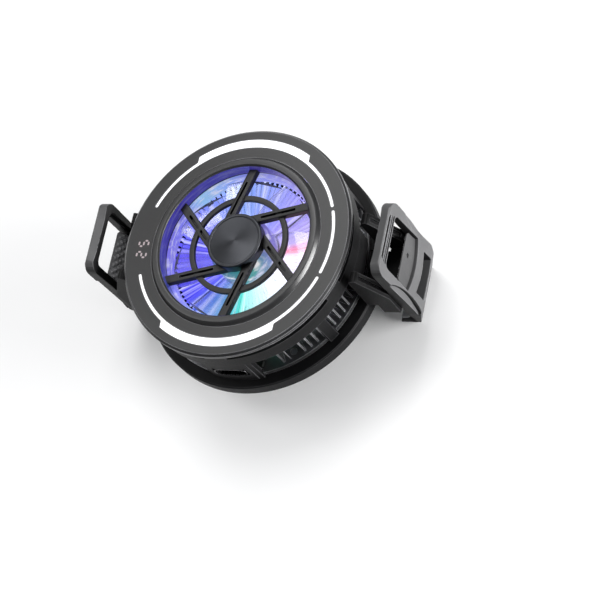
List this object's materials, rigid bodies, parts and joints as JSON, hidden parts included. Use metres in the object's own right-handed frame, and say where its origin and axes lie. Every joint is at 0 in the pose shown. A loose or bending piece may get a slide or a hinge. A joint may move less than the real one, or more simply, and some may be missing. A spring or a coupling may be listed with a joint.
{
  "type": "phone cooling fan",
  "caption": "Clip-on phone cooler: round fan housing over a finned heatsink and thermoelectric plate, with two sprung jaws that slide apart together",
  "frame": {"origin": "centre of the cooling face, on the fan's axis, where the contact pad meets the cooled surface", "axes": "+Z along the fan's axis from the cooled surface to the fan's face, +X along the jaws' slides to the right jaw, +Y up with the power socket at -Y"},
  "size_m": [0.0818, 0.0628, 0.0326],
  "materials": {
    "pad_silicone": "matt silicone",
    "aluminium": "machined",
    "ceramic": "fired alumina",
    "black_plastic": "fine spark texture",
    "steel": "bright",
    "board": "solder mask",
    "lamp": "milky",
    "bronze": "sintered",
    "laminate": "stacked sheet",
    "copper": "enamelled wire",
    "magnet": "bonded ferrite",
    "clear_plastic": "clear moulded",
    "bezel_plastic": "satin",
    "diffuser": "milky white",
    "digit": "lit",
    "smoked_lens": "smoked",
    "cap_metal": "spun and coated",
    "acetal": "natural",
    "jaw_plastic": "fine spark texture",
    "dark_rubber": "knurled",
    "grip_silicone": "matt"
  },
  "bodies": {
    "housing": {"thermal_pad": "pad_silicone", "cold_plate": "aluminium", "thermo_module": "ceramic", "base_cover": "black_plastic", "base_screws": "steel", "heatsink": "aluminium", "mid_housing": "black_plastic", "control_board": "board", "usb_socket": "steel", "led_board": "board", "leds": "lamp", "light_guide": "lamp", "motor_bracket": "black_plastic", "bearing_sleeve": "bronze", "stator_core": "laminate", "stator_coils": "copper", "front_bezel": "bezel_plastic", "light_strips": "diffuser", "display_module": "black_plastic", "display_digits": "digit", "display_window": "smoked_lens", "grille": "bezel_plastic", "hub_cap": "cap_metal", "pinion_pin": "steel", "return_spring": "steel"},
    "rotor": {"impeller": "clear_plastic", "rotor_magnet": "magnet", "rotor_shaft": "steel"},
    "right_slider": {"right_arm": "black_plastic", "right_jaw": "jaw_plastic", "right_finger_pad": "dark_rubber", "right_grip_liner": "grip_silicone"},
    "left_slider": {"left_arm": "black_plastic", "left_jaw": "jaw_plastic", "left_finger_pad": "dark_rubber", "left_grip_liner": "grip_silicone"},
    "gear": {"pinion": "acetal"}
  },
  "joints": [
    {"name": "fan_spin", "type": "hinge", "parent": "housing", "child": "rotor", "pos_m": [0, 0, 0.0155], "axis": [0, 0, 1], "continuous": true},
    {"name": "right_jaw_slide", "type": "slide", "parent": "housing", "child": "right_slider", "axis": [1, 0, 0], "range_m": [-0.0012, 0.0087], "stiffness_N_per_m": 120, "deforming": ["return_spring"]},
    {"name": "left_jaw_slide", "type": "slide", "parent": "housing", "child": "left_slider", "axis": [-1, 0, 0], "range_m": [-0.0012, 0.0087]},
    {"name": "pinion_spin", "type": "hinge", "parent": "housing", "child": "gear", "pos_m": [0, 0.01557, 0.003], "axis": [0, 0, 1], "range_deg": [-170, 26]}
  ],
  "couplings": [
    {"joint": "left_jaw_slide", "follows": "right_jaw_slide", "ratio": 1},
    {"joint": "pinion_spin", "follows": "right_jaw_slide", "rad_per_m": -333.33}
  ]
}
